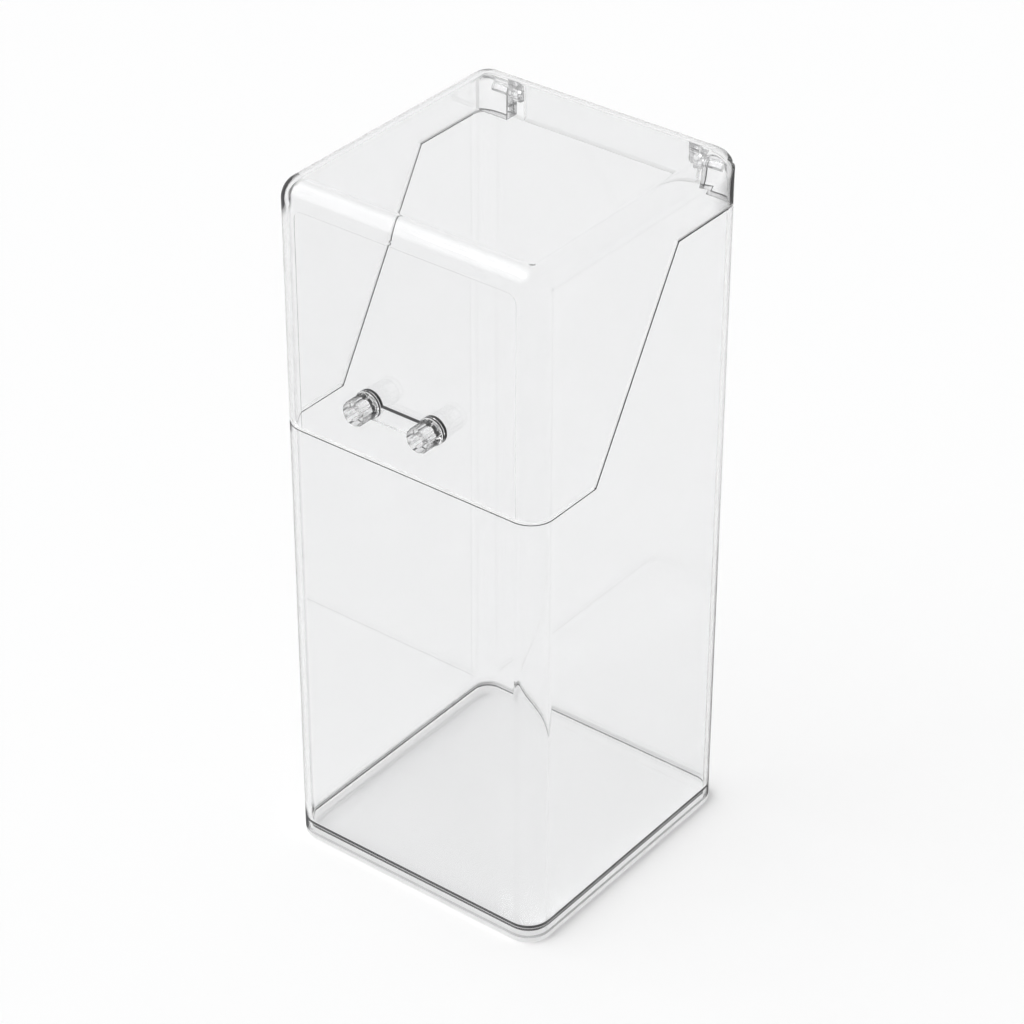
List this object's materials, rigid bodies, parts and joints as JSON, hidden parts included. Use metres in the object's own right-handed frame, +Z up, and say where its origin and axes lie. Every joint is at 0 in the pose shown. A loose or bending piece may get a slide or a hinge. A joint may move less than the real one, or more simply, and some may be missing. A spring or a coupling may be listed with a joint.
{
  "type": "makeup brush box",
  "caption": "Tall clear plastic box with rounded corners and a deep flip lid on rear corner hinges, opened by a small handle of fluted knobs; holds makeup brushes upright and free of dust.",
  "frame": {"origin": "middle of the underside of the base, on the surface the box stands on", "axes": "+Z up, the front with the handle faces -Y, +X to the right as seen from the front"},
  "size_m": [0.095, 0.1062, 0.233],
  "materials": {
    "body_plastic": "clear, polished",
    "lid_plastic": "clear, polished",
    "hinge_plastic": "clear, moulded",
    "handle_plastic": "clear, moulded"
  },
  "bodies": {
    "box": {"body_shell": "body_plastic", "base_plate": "body_plastic", "left_hinge_block": "hinge_plastic", "right_hinge_block": "hinge_plastic", "left_hinge_pin": "hinge_plastic", "right_hinge_pin": "hinge_plastic"},
    "lid": {"lid_shell": "lid_plastic", "left_hinge_lug": "hinge_plastic", "right_hinge_lug": "hinge_plastic", "handle_strip": "handle_plastic", "left_knob": "handle_plastic", "right_knob": "handle_plastic"}
  },
  "joints": [
    {"name": "lid_hinge", "type": "hinge", "parent": "box", "child": "lid", "pos_m": [0, 0.0464, 0.225], "axis": [-1, 0, 0], "range_deg": [0, 110]}
  ]
}
